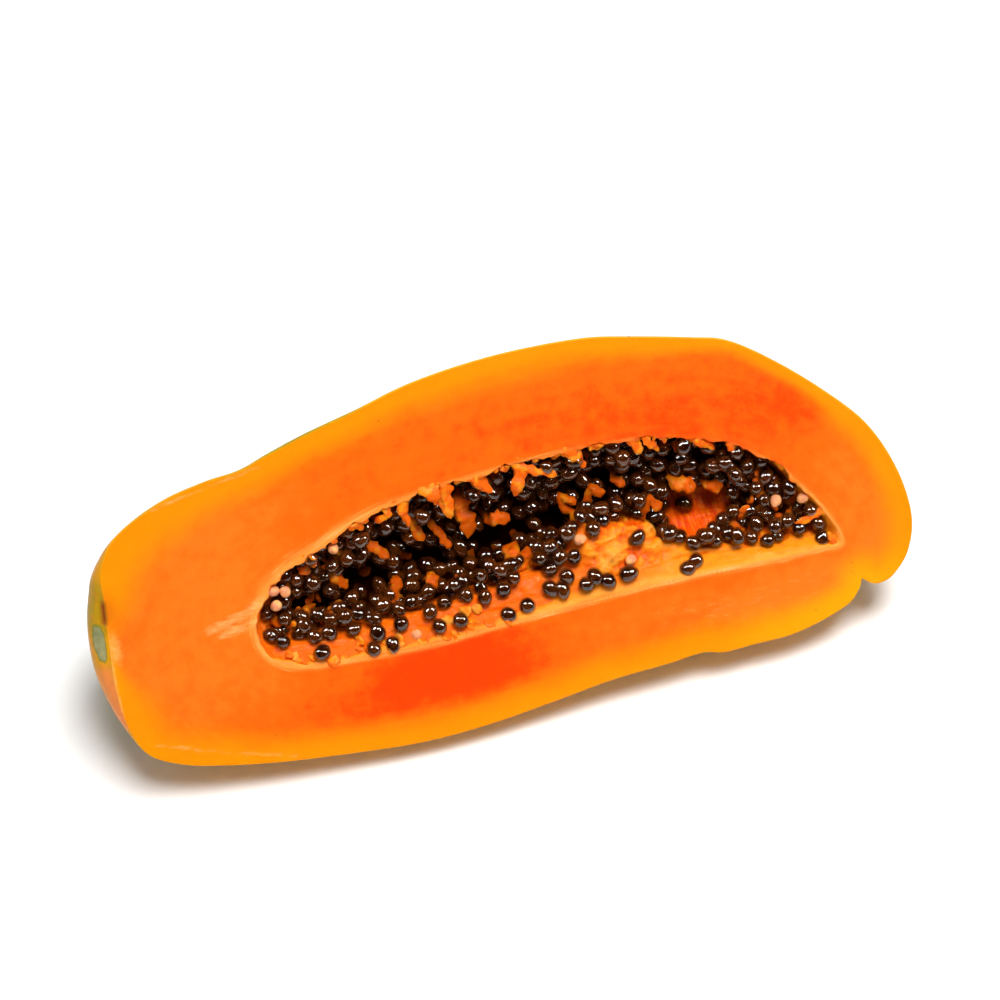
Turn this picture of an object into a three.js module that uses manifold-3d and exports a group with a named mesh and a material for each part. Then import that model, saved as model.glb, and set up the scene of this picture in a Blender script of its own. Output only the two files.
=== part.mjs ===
// Papaya half: a long papaya cut lengthwise, lying with its cut face leaning back, and the mass of
// seeds and pulp that lines its cavity. Millimetres, +Z up.
//
// The fruit is worked out in the coordinates of its cut face: u runs along the fruit from the stem
// end (-) to the blossom end (+), v runs up the cut face, and w runs square to it into the fruit.

import * as THREE from 'three';
import { mergeVertices } from 'three/addons/utils/BufferGeometryUtils.js';
import Module from 'manifold-3d';

// Placing. The cut face leans back by LEAN from upright, its origin is LIFT above the ground, and
// the shifts bring the middle of the finished box to x = 0 and y = 0.
const LEAN = THREE.MathUtils.degToRad(38);
const LIFT = 59.5;
const SHIFT_X = 0.1;
const SHIFT_Y = 13.3;

// Edge of the cut face and mouth of the cavity in it, each a closed smooth curve, as [u, v].
const LOOP_POINTS = 600;
const OUTLINE = [
  [-137.9, 20.2], [-133, 29], [-124.5, 35], [-112, 40.3], [-98, 43.3], [-86, 44.7], [-76, 48],
  [-62, 52.2], [-44, 56.5], [-25, 61.5], [-4, 64.4], [16, 65.4], [38, 64.7], [54, 62], [76, 57.2],
  [88, 53.8], [102, 44.7], [119, 30.4], [134, 14.4], [143, -4], [146.3, -22], [143.1, -34.9],
  [136.5, -42.4], [131, -44.4], [127, -43.3], [124.8, -41.3], [122.8, -45], [118.5, -49.2],
  [109, -52.8], [96, -55.7], [82, -56.1], [70, -56.4], [62, -54.7], [50, -55.7], [28, -56.9],
  [6, -59.7], [-18, -62.4], [-42, -63.1], [-66, -61.2], [-92, -58.2], [-112, -54.5],
  [-125, -50.8], [-135, -44.7], [-139.8, -33.5], [-141.1, -20], [-140.3, -4], [-139, 11],
];
const MOUTH = [
  [-87, -2.7], [-83.8, 2], [-75.8, 7.5], [-66.5, 11.2], [-49, 18.7], [-25, 23.8], [2, 26],
  [30, 27], [56, 25.6], [78, 20], [97, 8.3], [109.3, -6.5], [117, -19.2], [118.7, -24.8],
  [118, -27], [112.5, -26.9], [95, -26.9], [62, -26.3], [28, -27], [-4, -28.3], [-36, -29.5],
  [-68, -28], [-80.5, -26], [-87, -22.3], [-90, -17], [-90.8, -10.6], [-89.4, -6.3],
];

// Outer form. Its deepest line runs between two points of u. Its depth goes by the half width, and
// it grows deeper towards the blossom end.
const SKIN = { loop: smoothLoop(OUTLINE), from: -98, to: 94, depthRatio: 1.1, deepening: 0.0016 };
const LOBES = 5;
const LOBE = 0.03;
const FLAT_SIDE = THREE.MathUtils.degToRad(20);
const UPPER_LEAN = 0.3;
const STEM_BULGE = { reach: 9.2, peak: 0.3, narrow: 5, towards: [-0.995, 0.1] };
const STEM_SCAR = { at: [-146.5, -3, 15], radius: 11, depth: 0.6 };

// Cavity: its upper wall is undercut and its lower wall is a sloping ledge.
const CAVITY = { loop: smoothLoop(MOUTH), from: -68, to: 94, depthRatio: 1, deepening: 0 };
const UNDERCUT = 0.16;
const LEDGE_SLOPE = 0.28;

// Pulp lining that carries the seeds: LIP thick at the mouth, where its edge lies in the cut face,
// and BED thick at the floor. GAP keeps it clear of the flesh.
const LIP = 2.8;
const BED = 8;
const GAP = 0.75;
const SEED_SKIN = 0.5;

// Seeds, with the places they leave bare, as ellipses in u and v.
const SEED = { length: 7.2, width: 6, smallest: 0.84, rise: 0.9, spacing: 0.9, highest: 0.3 };
const SEED_TRIES = 6000;
const SEED_LIMIT = 240;
const SEED_RANDOM = 20240611;
const LEDGE_EDGE = { clear: 0.7, seededLeft: -15, seededRight: 80 };
const BARE_PATCHES = [
  { u: 70, v: -9, ru: 12, rv: 9 },
  { u: 38, v: -17, ru: 17, rv: 8 },
  { u: -52, v: -6, ru: 7, rv: 6 },
  { u: 6, v: 3, ru: 11, rv: 5 },
];
const LEDGE_SEEDS = [
  [-76, -21], [-66, -25], [-52, -24], [-44, -22.5], [-29, -21], [-21, -19], [-4, -19.5], [3, -18],
  [11, -13], [20, -17], [27, -19], [42, -21], [58, -21.5], [66, -17], [78, -20],
];

// Mesh fineness: ribs along each side and round each end, and rings on each surface. The ribs round
// an end are in degrees from the side before it, closer together at the blossom notch. A seed is an
// icosahedron whose corners stand out a little, as its flat faces fall short of a round seed.
const SEED_CORNERS = 0.54;
const SIDE_STEPS = 12;
const BLOSSOM_RIBS = [0, 14, 28, 42, 56, 70, 84, 98, 111, 121, 129, 134.5, 138, 141.4, 146, 157, 169];
const STEM_RIBS = [0, 14, 28, 40, 51, 63, 76, 89, 102, 115, 129, 145, 162];
const SKIN_RINGS = 12;
const CAVITY_RINGS = 6;
const MERGE_TOLERANCE = 1e-4;

const HALF_PI = Math.PI / 2;

const wasm = await Module();
wasm.setup();

function smoothLoop(points) {
  const vectors = points.map(([u, v]) => new THREE.Vector3(u, v, 0));
  return new THREE.CatmullRomCurve3(vectors, true, 'catmullrom', 0.5).getPoints(LOOP_POINTS);
}

// Distance from a point inside a loop to the loop, along a direction.
function reach(loop, from, dir) {
  let far = 0;
  for (let i = 1; i < loop.length; i += 1) {
    const edgeU = loop[i].x - loop[i - 1].x;
    const edgeV = loop[i].y - loop[i - 1].y;
    const toU = loop[i - 1].x - from[0];
    const toV = loop[i - 1].y - from[1];
    const cross = dir[0] * edgeV - dir[1] * edgeU;
    const along = (toU * edgeV - toV * edgeU) / cross;
    const share = (toU * dir[1] - toV * dir[0]) / cross;
    if (share >= 0 && share <= 1 && along > far) far = along;
  }
  return far;
}

// A rib is a curve from the edge of a loop down to the deepest line. Turn 0 to 1 goes once round:
// along the upper side, round the blossom end, back along the lower side and round the stem end.
function ribAt(shape, turn) {
  const quarter = (((turn % 1) + 1) % 1) * 4;
  const side = Math.floor(quarter);
  const share = quarter - side;
  const alongs = [share, 1, 1 - share, 0];
  const angles = [0, share * Math.PI, Math.PI, Math.PI + share * Math.PI];
  const u = THREE.MathUtils.lerp(shape.from, shape.to, alongs[side]);
  const dir = [Math.sin(angles[side]), Math.cos(angles[side])];
  const up = reach(shape.loop, [u, 0], [0, 1]);
  const down = reach(shape.loop, [u, 0], [0, -1]);
  const base = [u, (up - down) / 2];
  const depth = ((shape.depthRatio + shape.deepening * u) * (up + down)) / 2;
  return { base, dir, reach: reach(shape.loop, base, dir), depth };
}

// The same ribs round every shape, so that rings of different shapes can be joined.
function ribsOf(shape) {
  const side = Array.from({ length: SIDE_STEPS }, (_, i) => i / SIDE_STEPS);
  const [blossom, stem] = [BLOSSOM_RIBS, STEM_RIBS].map((ribs) => ribs.map((degrees) => degrees / 180));
  return [side, blossom, side, stem].flatMap((shares, quarter) =>
    shares.map((share) => ribAt(shape, (quarter + share) / 4)),
  );
}

// How far the skin is pushed in by the shallow hollow of the stem's scar.
function scarDepth(point) {
  const away = Math.hypot(...point.map((value, axis) => value - STEM_SCAR.at[axis]));
  return STEM_SCAR.depth * Math.exp(-((away / STEM_SCAR.radius) ** 2));
}

// A point of the skin: softly five-lobed, leaning inwards behind the upper edge, with a bulge round
// the stem that stands past the cut edge.
function skinPoint(rib, angle) {
  const turned = HALF_PI + rib.dir[1] * (HALF_PI - angle);
  const lobe = 1 - LOBE * Math.sin(angle) * Math.cos(LOBES * (turned - FLAT_SIDE));
  const lean = UPPER_LEAN * ((1 + rib.dir[1]) / 2) ** 2 * Math.sin(angle) * Math.cos(angle);
  const out = rib.reach * (Math.cos(angle) - lean) * lobe;
  const u = rib.base[0] + rib.dir[0] * out;
  const v = rib.base[1] + rib.dir[1] * out;
  const w = rib.depth * Math.sin(angle) * lobe;
  const facing = rib.dir[0] * STEM_BULGE.towards[0] + rib.dir[1] * STEM_BULGE.towards[1];
  const towardStem = Math.max(0, facing) ** STEM_BULGE.narrow;
  const part = angle / STEM_BULGE.peak;
  const bulge = STEM_BULGE.reach * towardStem * part * Math.exp(1 - part) * Math.cos(angle);
  return [u - bulge + scarDepth([u - bulge, v, w]), v, w];
}

// A point of the front of the lining, or of a surface that stands wider and deeper than it.
function wallPoint(rib, angle, wider, deeper) {
  const belly = (UNDERCUT - LEDGE_SLOPE) / 2 + ((UNDERCUT + LEDGE_SLOPE) / 2) * rib.dir[1];
  const out = (rib.reach + wider) * (Math.cos(angle) + belly * Math.sin(2 * angle));
  const u = rib.base[0] + rib.dir[0] * out;
  const v = rib.base[1] + rib.dir[1] * out;
  return [u, v, (rib.depth + deeper) * Math.sin(angle)];
}

// From cut-face coordinates to the part's own frame. Nothing reaches below the ground.
function place([u, v, w]) {
  const y = v * Math.sin(LEAN) + w * Math.cos(LEAN) - SHIFT_Y;
  const z = v * Math.cos(LEAN) - w * Math.sin(LEAN) + LIFT;
  return [u - SHIFT_X, y, Math.max(z, 0)];
}

// One closed solid from rings of equally many points. The first and last rings lie folded on a line.
function solidFromRings(rings) {
  const positions = rings.flat().flatMap(place);
  const count = rings[0].length;
  const index = [];
  for (let r = 0; r + 1 < rings.length; r += 1) {
    for (let i = 0; i < count; i += 1) {
      const a = r * count + i;
      const b = r * count + ((i + 1) % count);
      index.push(a, a + count, b, b, a + count, b + count);
    }
  }
  const geometry = new THREE.BufferGeometry();
  geometry.setAttribute('position', new THREE.Float32BufferAttribute(positions, 3));
  geometry.setIndex(index);
  return manifoldFrom(geometry);
}

function manifoldFrom(geometry) {
  geometry.deleteAttribute('normal');
  geometry.deleteAttribute('uv');
  const merged = mergeVertices(geometry, MERGE_TOLERANCE);
  const corners = merged.index.array;
  const kept = [];
  for (let i = 0; i < corners.length; i += 3) {
    const [a, b, c] = corners.slice(i, i + 3);
    if (a !== b && b !== c && c !== a) kept.push(a, b, c);
  }
  const vertProperties = new Float32Array(merged.attributes.position.array);
  const triVerts = new Uint32Array(kept);
  return new wasm.Manifold(new wasm.Mesh({ numProp: 3, vertProperties, triVerts }));
}

function geometryFrom(solid) {
  const mesh = solid.getMesh();
  const geometry = new THREE.BufferGeometry();
  geometry.setAttribute('position', new THREE.BufferAttribute(mesh.vertProperties, 3));
  geometry.setIndex(new THREE.BufferAttribute(mesh.triVerts, 1));
  geometry.computeVertexNormals();
  return geometry;
}

function ringsOf(ribs, angles, pointOf) {
  return angles.map((angle) => ribs.map((rib) => pointOf(rib, angle)));
}

function steps(from, to, count) {
  return Array.from({ length: count + 1 }, (_, i) => from + ((to - from) * i) / count);
}

function fleshSolid() {
  const skin = ringsOf(ribsOf(SKIN), steps(HALF_PI, 0, SKIN_RINGS), skinPoint);
  const wall = (rib, angle) => wallPoint(rib, angle, LIP, BED);
  const cavity = ringsOf(ribsOf(CAVITY), steps(0, HALF_PI, CAVITY_RINGS), wall);
  return solidFromRings([...skin, ...cavity]);
}

function liningSolid() {
  const ribs = ribsOf(CAVITY);
  const outer = (rib, angle) => wallPoint(rib, angle, LIP - GAP, BED - GAP);
  const inner = (rib, angle) => wallPoint(rib, angle, 0, 0);
  const back = ringsOf(ribs, steps(HALF_PI, 0, CAVITY_RINGS), outer);
  const front = ringsOf(ribs, steps(0, HALF_PI, CAVITY_RINGS), inner);
  return solidFromRings([...back, ...front]);
}

// The space that seeds may fill: inside the lining's back, and open in front of the cut face.
function seedRoom() {
  const ribs = ribsOf(CAVITY);
  const inside = GAP + SEED_SKIN;
  const wall = (rib, angle) => wallPoint(rib, angle, LIP - inside, BED - inside);
  const front = ribs.map(({ base }) => [...base, -SEED.length]);
  return solidFromRings([...ringsOf(ribs, steps(HALF_PI, 0, CAVITY_RINGS), wall), front]);
}

// Small seeded random generator (mulberry32), the same numbers on every run.
function randomFrom(seed) {
  let state = seed;
  return () => {
    state = (state + 0x6d2b79f5) | 0;
    let mixed = Math.imul(state ^ (state >>> 15), 1 | state);
    mixed = (mixed + Math.imul(mixed ^ (mixed >>> 7), 61 | mixed)) ^ mixed;
    return ((mixed ^ (mixed >>> 14)) >>> 0) / 4294967296;
  };
}

// Where seeds can lie: on the lining, off the bare patches and, but for its two ends, off the ledge.
function isSeeded([u, v], rib, angle) {
  const onLedge = rib.dir[1] < 0 && angle < LEDGE_EDGE.clear * -rib.dir[1];
  if (onLedge && u > LEDGE_EDGE.seededLeft && u < LEDGE_EDGE.seededRight) return false;
  return BARE_PATCHES.every((patch) => {
    const across = (u - patch.u) / patch.ru;
    const up = (v - patch.v) / patch.rv;
    return across * across + up * up > 1;
  });
}

// A seed's centre stands off the lining along its normal.
function liftedPoint(turn, angle, rise) {
  const nudge = 0.002;
  const at = (t, a) => new THREE.Vector3(...wallPoint(ribAt(CAVITY, t), a, 0, 0));
  const point = at(turn, angle);
  const alongTurn = at(turn + nudge, angle).sub(point);
  const alongAngle = at(turn, angle + nudge).sub(point);
  const normal = alongTurn.cross(alongAngle).normalize();
  return point.addScaledVector(normal, rise);
}

function seedCentres() {
  const random = randomFrom(SEED_RANDOM);
  const centres = [];
  const addIfClear = (centre, size, turns) => {
    const space = SEED.width * SEED.spacing;
    const clear = centres.every((other) => other.centre.distanceTo(centre) > space);
    if (clear) centres.push({ centre, size, turns });
  };
  for (const [u, v] of LEDGE_SEEDS) {
    const size = THREE.MathUtils.lerp(SEED.smallest, 1, random());
    const turns = [random(), random(), random()];
    addIfClear(ledgePoint(u, v), size, turns);
  }
  for (let i = 0; i < SEED_TRIES && centres.length < SEED_LIMIT; i += 1) {
    const turn = random();
    const angle = THREE.MathUtils.lerp(SEED.highest, HALF_PI, random());
    const size = THREE.MathUtils.lerp(SEED.smallest, 1, random());
    const turns = [random(), random(), random()];
    const rib = ribAt(CAVITY, turn);
    const point = wallPoint(rib, angle, 0, 0);
    if (isSeeded(point, rib, angle)) addIfClear(liftedPoint(turn, angle, SEED.rise), size, turns);
  }
  return centres;
}

// The place on the ledge at a given u and v, found by halving along the rib under it.
function ledgePoint(u, v) {
  const alongSide = (CAVITY.to - u) / (CAVITY.to - CAVITY.from);
  const turn = 0.5 + 0.25 * THREE.MathUtils.clamp(alongSide, 0, 1);
  const rib = ribAt(CAVITY, turn);
  const halvings = 30;
  let low = SEED.highest;
  let high = HALF_PI;
  for (let i = 0; i < halvings; i += 1) {
    const middle = (low + high) / 2;
    if (wallPoint(rib, middle, 0, 0)[1] < v) low = middle;
    else high = middle;
  }
  return liftedPoint(turn, low, SEED.rise);
}

function seedSolid({ centre, size, turns }) {
  const geometry = new THREE.IcosahedronGeometry(SEED_CORNERS, 0);
  geometry.scale(SEED.width * size, SEED.width * size, SEED.length * size);
  const [x, y, z] = turns.map((share) => share * 2 * Math.PI);
  geometry.applyMatrix4(new THREE.Matrix4().makeRotationFromEuler(new THREE.Euler(x, y, z)));
  const placed = place([centre.x, centre.y, centre.z]);
  geometry.translate(...placed);
  return manifoldFrom(geometry);
}

function seedsSolid() {
  const room = seedRoom();
  const seeds = seedCentres().map((seed) => seedSolid(seed).intersect(room));
  return seeds.reduce((mass, seed) => mass.add(seed), liningSolid());
}

function addNode(group, name, solid, color, roughness) {
  const material = new THREE.MeshStandardMaterial({ color, roughness, metalness: 0 });
  const mesh = new THREE.Mesh(geometryFrom(solid), material);
  mesh.name = name;
  group.add(mesh);
}

const papayaHalf = new THREE.Group();
addNode(papayaHalf, 'flesh', fleshSolid(), 0xff8420, 0.45);
addNode(papayaHalf, 'seeds', seedsSolid(), 0x2a1c12, 0.25);

export default papayaHalf;
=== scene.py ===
"""The looks of a papaya half: its cut flesh and skin, and the pulp and seeds in its cavity.

The fruit is worked out in the coordinates of its cut face, in millimetres: u runs along the fruit
from the stem end (-) to the blossom end (+), v runs up the cut face, and w runs square to it into
the fruit. place() turns them into the frame's metres.
"""

from collections import namedtuple
from math import cos, exp, pi, radians, sin

import bmesh
import bpy
import numpy as np
from mathutils import Euler, Matrix, Vector


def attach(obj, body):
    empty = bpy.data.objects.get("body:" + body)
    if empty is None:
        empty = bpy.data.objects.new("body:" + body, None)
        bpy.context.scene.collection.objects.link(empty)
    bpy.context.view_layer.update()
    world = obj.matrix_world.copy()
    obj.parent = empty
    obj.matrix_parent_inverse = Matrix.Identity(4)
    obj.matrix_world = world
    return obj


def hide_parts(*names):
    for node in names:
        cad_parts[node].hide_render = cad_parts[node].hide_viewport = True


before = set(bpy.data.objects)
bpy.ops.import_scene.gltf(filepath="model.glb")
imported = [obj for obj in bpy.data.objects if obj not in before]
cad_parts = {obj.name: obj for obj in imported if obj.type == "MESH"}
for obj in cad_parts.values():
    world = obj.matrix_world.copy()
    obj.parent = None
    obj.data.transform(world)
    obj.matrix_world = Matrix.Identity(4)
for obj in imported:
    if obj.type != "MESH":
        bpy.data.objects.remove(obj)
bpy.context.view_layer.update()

# ---- sizes
# The solids' own sizes, in millimetres. TUCK keeps the finer surfaces inside the faceted ones.

MM = 0.001
LEAN = radians(38)
LIFT = 59.5
SHIFT_X = 0.1
SHIFT_Y = 13.3
TUCK = 0.998

OUTLINE = [
    (-137.9, 20.2), (-133, 29), (-124.5, 35), (-112, 40.3), (-98, 43.3), (-86, 44.7), (-76, 48),
    (-62, 52.2), (-44, 56.5), (-25, 61.5), (-4, 64.4), (16, 65.4), (38, 64.7), (54, 62), (76, 57.2),
    (88, 53.8), (102, 44.7), (119, 30.4), (134, 14.4), (143, -4), (146.3, -22), (143.1, -34.9),
    (136.5, -42.4), (131, -44.4), (127, -43.3), (124.8, -41.3), (122.8, -45), (118.5, -49.2),
    (109, -52.8), (96, -55.7), (82, -56.1), (70, -56.4), (62, -54.7), (50, -55.7), (28, -56.9),
    (6, -59.7), (-18, -62.4), (-42, -63.1), (-66, -61.2), (-92, -58.2), (-112, -54.5),
    (-125, -50.8), (-135, -44.7), (-139.8, -33.5), (-141.1, -20), (-140.3, -4), (-139, 11),
]
MOUTH = [
    (-87, -2.7), (-83.8, 2), (-75.8, 7.5), (-66.5, 11.2), (-49, 18.7), (-25, 23.8), (2, 26),
    (30, 27), (56, 25.6), (78, 20), (97, 8.3), (109.3, -6.5), (117, -19.2), (118.7, -24.8),
    (118, -27), (112.5, -26.9), (95, -26.9), (62, -26.3), (28, -27), (-4, -28.3), (-36, -29.5),
    (-68, -28), (-80.5, -26), (-87, -22.3), (-90, -17), (-90.8, -10.6), (-89.4, -6.3),
]
LOWER_LIP = np.array(sorted(point for point in MOUTH if point[1] < -22)).T
LOOP_POINTS = 600

LOBES = 5
LOBE = 0.03
FLAT_SIDE = radians(20)
UPPER_LEAN = 0.3
STEM_BULGE = {"reach": 8.9, "peak": 0.3, "narrow": 5, "towards": (-0.995, 0.1)}
STEM_SCAR = {"at": (-146.5, -3, 15), "radius": 11, "depth": 0.6}

UNDERCUT = 0.16
LEDGE_SLOPE = 0.28
LIP = 2.8
BED = 8

# The ledge rises to a crest, given as u, v and w, behind which the cavity drops to its floor.
CREST = [
    (-84, -20, 3), (-60, -21.5, 4), (-30, -20.5, 5), (-10, -18, 5), (4, -16, 6), (14, -15, 6),
    (22, -8, 7), (28, -1, 7), (39, -5, 7), (51, -7, 7), (54.5, -13.7, 7), (65, -16.6, 7),
    (73.6, -21, 6), (80, -23.5, 4), (87, -25.5, 2), (110, -26.2, 1.5),
]
CREST_FALL = 3.5
CREST_ROUND = 0.8
CREST_ENDS = ((-90, -82), (106, 114))

SEED = {"length": 7.2, "width": 6, "smallest": 0.8, "largest": 0.96}

# ---- camera
# The camera looks down on the cut face. AIM is the point that lies on AIM_PIXEL of the image.

AZIMUTH = radians(-16)
ELEVATION = radians(50)
DISTANCE = 811
LENS = 85
SENSOR = 36
IMAGE = 1000
AIM = Vector((-3.2, -13.3, 59.5))
AIM_PIXEL = (500, 545)
CLIP_END = 20


def make_camera():
    """Sets up the camera and gives back its own place in cut-face coordinates."""
    back = Vector((
        sin(AZIMUTH) * cos(ELEVATION),
        -cos(AZIMUTH) * cos(ELEVATION),
        sin(ELEVATION),
    ))
    right = Vector((cos(AZIMUTH), sin(AZIMUTH), 0))
    up = back.cross(right)
    pixel = SENSOR / LENS / IMAGE * DISTANCE
    middle = AIM - right * (AIM_PIXEL[0] - IMAGE / 2) * pixel + up * (AIM_PIXEL[1] - IMAGE / 2) * pixel
    eye = middle + back * DISTANCE
    data = bpy.data.cameras.new("camera")
    data.lens = LENS
    data.sensor_width = SENSOR
    data.clip_end = CLIP_END
    camera = bpy.data.objects.new("camera", data)
    turn = Matrix((right, up, back)).transposed().to_4x4()
    camera.matrix_world = Matrix.Translation(eye * MM) @ turn
    bpy.context.scene.collection.objects.link(camera)
    bpy.context.scene.camera = camera
    y, z = eye.y + SHIFT_Y, eye.z - LIFT
    v = y * sin(LEAN) + z * cos(LEAN)
    w = y * cos(LEAN) - z * sin(LEAN)
    return np.array([eye.x + SHIFT_X, v, w])


EYE = make_camera()


def seen(points):
    """The u and v of the place of the open cut face that points are looked at through."""
    points = np.asarray(points, float)
    share = EYE[2] / (EYE[2] - points[..., 2:])
    return (EYE + (points - EYE) * share)[..., :2]


# ---- forms


def place(points):
    """From cut-face millimetres to the frame's metres. Nothing reaches below the ground."""
    u, v, w = np.moveaxis(np.asarray(points, float) * TUCK, -1, 0)
    y = v * sin(LEAN) + w * cos(LEAN) - SHIFT_Y
    z = v * cos(LEAN) - w * sin(LEAN) + LIFT
    return np.stack([u - SHIFT_X, y, np.maximum(z, 0)], axis=-1) * MM


def curve(knots, before, after, along):
    """Points of a Catmull-Rom curve, along it counted in knots."""
    start = np.clip(np.floor(along).astype(int), 0, len(knots) - 2)
    t = (along - start)[:, None]
    here, there = knots[start], knots[start + 1]
    leave = (there - np.concatenate([[before], knots])[start]) / 2
    arrive = (np.concatenate([knots, [after]])[start + 2] - here) / 2
    return (
        here * (2 * t**3 - 3 * t**2 + 1) + there * (3 * t**2 - 2 * t**3)
        + leave * (t**3 - 2 * t**2 + t) + arrive * (t**3 - t**2)
    )


def smooth_loop(points):
    knots = np.array(points + points[:1], float)
    return curve(knots, knots[-2], knots[1], np.linspace(0, len(points), LOOP_POINTS + 1))


def reach(loop, base, direction):
    """Distance from points inside a loop to the loop, along a direction for each."""
    edge = loop[1:] - loop[:-1]
    to = loop[None, :-1] - base[:, None]
    dx, dy = direction[:, None, 0], direction[:, None, 1]
    with np.errstate(divide="ignore", invalid="ignore"):
        cross = dx * edge[:, 1] - dy * edge[:, 0]
        along = (to[..., 0] * edge[:, 1] - to[..., 1] * edge[:, 0]) / cross
        share = (to[..., 0] * dy - to[..., 1] * dx) / cross
    return np.where((share >= 0) & (share <= 1), along, 0).max(axis=1)


Shape = namedtuple("Shape", "loop span depth_ratio deepening")
Ribs = namedtuple("Ribs", "turn base dir reach depth")
SKIN = Shape(smooth_loop(OUTLINE), (-98, 94), 1.1, 0.0016)
CAVITY = Shape(smooth_loop(MOUTH), (-68, 94), 1, 0)


def ribs_at(shape, turn):
    """Ribs run from the edge of a loop down to the deepest line. Turn 0 to 1 goes once round:
    along the upper side, round the blossom end, back along the lower side and round the stem end.
    """
    side = np.floor(turn * 4).astype(int)
    share = turn * 4 - side
    along = np.choose(side, [share, 1, 1 - share, 0])
    angle = np.choose(side, [0, share * pi, pi, pi + share * pi])
    u = shape.span[0] + (shape.span[1] - shape.span[0]) * along
    middle = np.stack([u, np.zeros_like(u)], axis=1)
    up = reach(shape.loop, middle, np.tile([0.0, 1.0], (len(u), 1)))
    down = reach(shape.loop, middle, np.tile([0.0, -1.0], (len(u), 1)))
    base = np.stack([u, (up - down) / 2], axis=1)
    direction = np.stack([np.sin(angle), np.cos(angle)], axis=1)
    depth = (shape.depth_ratio + shape.deepening * u) * (up + down) / 2
    return Ribs(turn, base, direction, reach(shape.loop, base, direction), depth)


def outward(ribs, out, w):
    """Points that lie some way out along each rib, at a depth w."""
    return np.column_stack([ribs.base + ribs.dir * out[:, None], w])


def skin_points(ribs, angle):
    """The skin: softly five-lobed, leaning inwards behind the upper edge, with a bulge round the
    stem that stands past the cut edge."""
    turned = pi / 2 + ribs.dir[:, 1] * (pi / 2 - angle)
    lobe = 1 - LOBE * sin(angle) * np.cos(LOBES * (turned - FLAT_SIDE))
    lean = UPPER_LEAN * ((1 + ribs.dir[:, 1]) / 2) ** 2 * sin(angle) * cos(angle)
    out = ribs.reach * (cos(angle) - lean) * lobe
    part = angle / STEM_BULGE["peak"]
    toward_stem = np.maximum(0, ribs.dir @ np.array(STEM_BULGE["towards"])) ** STEM_BULGE["narrow"]
    bulge = STEM_BULGE["reach"] * toward_stem * part * exp(1 - part) * cos(angle)
    points = outward(ribs, out, ribs.depth * sin(angle) * lobe)
    points[:, 0] -= bulge
    away = np.linalg.norm(points - STEM_SCAR["at"], axis=-1)
    points[:, 0] += STEM_SCAR["depth"] * np.exp(-((away / STEM_SCAR["radius"]) ** 2))
    return points


def wall_points(ribs, angle, wider=0, deeper=0):
    """The cavity's wall, or a surface that stands wider and deeper than it."""
    belly = (UNDERCUT - LEDGE_SLOPE) / 2 + (UNDERCUT + LEDGE_SLOPE) / 2 * ribs.dir[:, 1]
    out = (ribs.reach + wider) * (cos(angle) + belly * sin(2 * angle))
    return outward(ribs, out, (ribs.depth + deeper) * sin(angle))


def with_ledge(points):
    """The wall with its lower side brought up to the crest of the ledge."""
    u, v, w = np.moveaxis(points, -1, 0)
    crest_u, crest_v, crest_w = np.array(CREST).T
    lip_v = np.interp(u, *LOWER_LIP)
    top_v = np.interp(u, crest_u, crest_v)
    share = np.clip((v - lip_v) / (top_v - lip_v), 0, 1)
    ledge_w = np.interp(u, crest_u, crest_w) * share ** CREST_ROUND
    (left_off, left_on), (right_on, right_off) = CREST_ENDS
    mask = 1 - fade(v, top_v, top_v + CREST_FALL)
    mask = mask * fade(u, left_off, left_on) * (1 - fade(u, right_on, right_off))
    raised = w + mask * (np.minimum(w, ledge_w) - w)
    return np.stack([u, v, raised], axis=-1)


# ---- noise

CELL_PRIMES = np.array([374761393, 668265263, 1274126177])
SALT_PRIME = 974634777
MIXING = ((15, 0x2C1B3C6D), (12, 0x297A2D39))
LAST_SHIFT = 15
WORD = 0xFFFFFFFF

# Each surface's bumps have a salt of their own. A layered noise also uses the few after it.
SALT = {
    "swell": 3, "pores": 9, "lumps": 21, "fine": 25, "seed": 31, "mass": 33, "mass_fine": 37,
    "ridges": 41, "torn": 61, "dive": 67, "tag": 71, "tag_bright": 83,
}


def cell_numbers(cells, salt):
    """A number from 0 to 1 for each cell of a grid, always the same for the same cell."""
    mixed = (cells * CELL_PRIMES).sum(axis=-1) + salt * SALT_PRIME
    mixed = (mixed & WORD).astype(np.uint64)
    for shift, prime in MIXING:
        mixed = ((mixed ^ (mixed >> np.uint64(shift))) * np.uint64(prime)) & np.uint64(WORD)
    return (mixed ^ (mixed >> np.uint64(LAST_SHIFT))) / (WORD + 1)


def noise(points, size, salt):
    """Smooth noise from -1 to 1, with bumps about as wide as size."""
    scaled = np.asarray(points, float) / size
    cell = np.floor(scaled).astype(np.int64)
    t = scaled - cell
    t = t * t * (3 - 2 * t)
    total = 0
    for corner in np.ndindex(2, 2, 2):
        share = np.where(corner, t, 1 - t).prod(axis=-1)
        total = total + share * cell_numbers(cell + np.array(corner), salt)
    return total * 2 - 1


def layered_noise(points, size, salt, layers=3):
    return sum(noise(points, size / 2**n, salt + n) / 2**n for n in range(layers))


def fade(value, start, end):
    """0 before start, 1 after end, smooth between."""
    t = np.clip((np.asarray(value, float) - start) / (end - start), 0, 1)
    return t * t * (3 - 2 * t)


# ---- meshes


def make_object(name, points, triangles, material, attributes=None):
    """A smooth mesh object from cut-face points, with a float attribute for each named array."""
    mesh = bpy.data.meshes.new(name)
    mesh.from_pydata(place(points).tolist(), [], triangles.tolist())
    for key, values in (attributes or {}).items():
        layer = mesh.attributes.new(key, "FLOAT", "POINT")
        layer.data.foreach_set("value", np.asarray(values, np.float32).ravel())
    mesh.shade_smooth()
    mesh.materials.append(material)
    made = bpy.data.objects.new(name, mesh)
    bpy.context.scene.collection.objects.link(made)
    return made


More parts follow.
